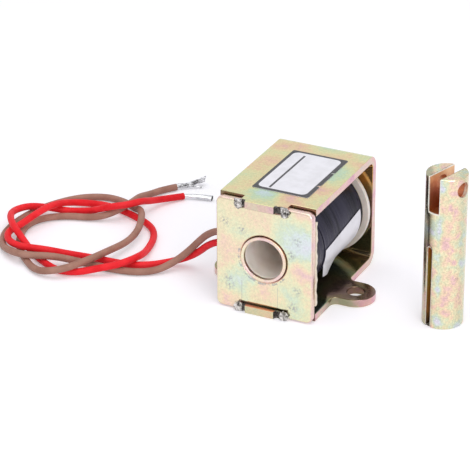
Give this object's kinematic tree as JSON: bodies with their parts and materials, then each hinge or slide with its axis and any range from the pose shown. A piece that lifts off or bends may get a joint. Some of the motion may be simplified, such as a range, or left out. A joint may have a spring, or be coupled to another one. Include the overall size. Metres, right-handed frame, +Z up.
{
  "type": "push pull solenoid",
  "caption": "Open-frame push pull solenoid: bent steel frame with ears, taped coil, bored front plate, loose leads and a slotted plunger standing beside it",
  "frame": {"origin": "on the floor, midway between the two mounting holes of the base's ears", "axes": "+X to the side that shows the coil and on which the plunger stands, -Y out of the bore's mouth, +Z up"},
  "size_m": [0.1246, 0.0665, 0.0391],
  "materials": {
    "chromate_steel": "yellow chromate on bent steel sheet",
    "chromate_plate": "pale yellow and pink chromate",
    "plunger_steel": "mottled pale chromate on turned bar",
    "cream_board": "cream insulating board",
    "bobbin_plastic": "moulded cream plastic",
    "copper": "copper",
    "film": "amber insulating film",
    "black_tape": "glossy black tape",
    "label": "white label stock",
    "red_pvc": "soft red insulation",
    "brown_pvc": "soft brown insulation",
    "tinned": "twisted tinned strands"
  },
  "bodies": {
    "solenoid": {"c_frame": "chromate_steel", "front_plate": "chromate_plate", "bore_collar": "chromate_plate", "front_insulator": "cream_board", "bobbin": "bobbin_plastic", "rear_washer": "cream_board", "winding": "copper", "coil_film": "film", "coil_tape": "black_tape", "coil_tape_front": "black_tape", "coil_label": "label", "top_label": "label", "fixed_pole": "chromate_steel", "shading_ring": "copper", "splice_pad": "black_tape", "red_lead": "red_pvc", "brown_lead": "brown_pvc", "red_tip": "tinned", "brown_tip": "tinned"},
    "plunger": {"plunger": "plunger_steel"}
  },
  "joints": [
    {"name": "plunger_slide", "type": "slide", "parent": "solenoid", "child": "plunger", "axis": [0, 0, 1], "range_m": [0, 0.027]}
  ]
}
